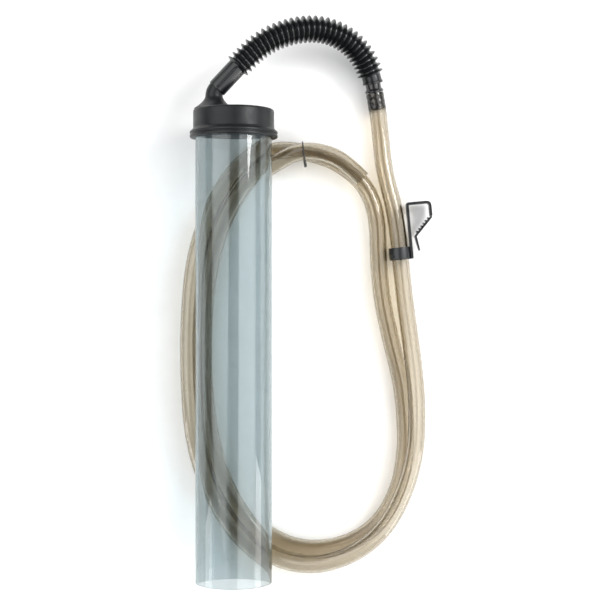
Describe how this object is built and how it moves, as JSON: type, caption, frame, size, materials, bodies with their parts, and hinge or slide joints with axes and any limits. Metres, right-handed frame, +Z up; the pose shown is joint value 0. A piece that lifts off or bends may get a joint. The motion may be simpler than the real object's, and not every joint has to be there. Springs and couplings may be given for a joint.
{
  "type": "gravel vacuum siphon",
  "caption": "Siphon for cleaning aquarium gravel: a rigid clear tube with a capped elbow, a corrugated hose and a coiled clear drain hose with a rim clip.",
  "frame": {"origin": "centre of the intake tube's open mouth", "axes": "+Y along the tube from its mouth to its cap, +X towards the hose's side, +Z up from the surface that the coil lies on"},
  "size_m": [0.206, 0.4528, 0.0797],
  "materials": {
    "smoky_tube": "clear smoky blue-grey, polished",
    "cap_plastic": "satin black moulding",
    "guard_plastic": "dark grey moulding",
    "flap_rubber": "soft black",
    "bellows_plastic": "semi-gloss black",
    "adapter_plastic": "gloss black",
    "clear_hose": "clear tan PVC",
    "clip_plastic": "semi-gloss black",
    "tie_plastic": "plastic-coated wire"
  },
  "bodies": {
    "cap": {"tube_cap": "cap_plastic", "valve_seat": "guard_plastic", "flap_pin": "guard_plastic", "corrugated_hose": "bellows_plastic", "hose_adapter": "adapter_plastic", "hose_lead": "clear_hose", "hose_second_turn": "clear_hose", "hose_coil": "clear_hose", "twist_tie": "tie_plastic"},
    "tube": {"intake_tube": "smoky_tube"},
    "guard": {"gravel_guard": "guard_plastic"},
    "flap": {"valve_flap": "flap_rubber"},
    "clip": {"clip_hook": "clip_plastic"},
    "jaw": {"clip_jaw": "clip_plastic"}
  },
  "joints": [
    {"name": "tube_pull", "type": "slide", "parent": "cap", "child": "tube", "axis": [0, -1, 0], "range_m": [0, 0.03]},
    {"name": "guard_pull", "type": "slide", "parent": "cap", "child": "guard", "axis": [0, -1, 0], "range_m": [0, 0.012]},
    {"name": "flap_swing", "type": "hinge", "parent": "cap", "child": "flap", "pos_m": [-0.0232, 0.3644, 0], "axis": [0, 0, 1], "range_deg": [0, 38]},
    {"name": "clip_slide", "type": "slide", "parent": "cap", "child": "clip", "axis": [0.0936, -0.9956, 0], "range_m": [-0.01, 0.008]},
    {"name": "jaw_flex", "type": "hinge", "parent": "clip", "child": "jaw", "pos_m": [0.16, 0.2922, -0.0356], "axis": [0, 0, 1], "range_deg": [0, 20], "stiffness_Nm_per_rad": 0.35}
  ]
}
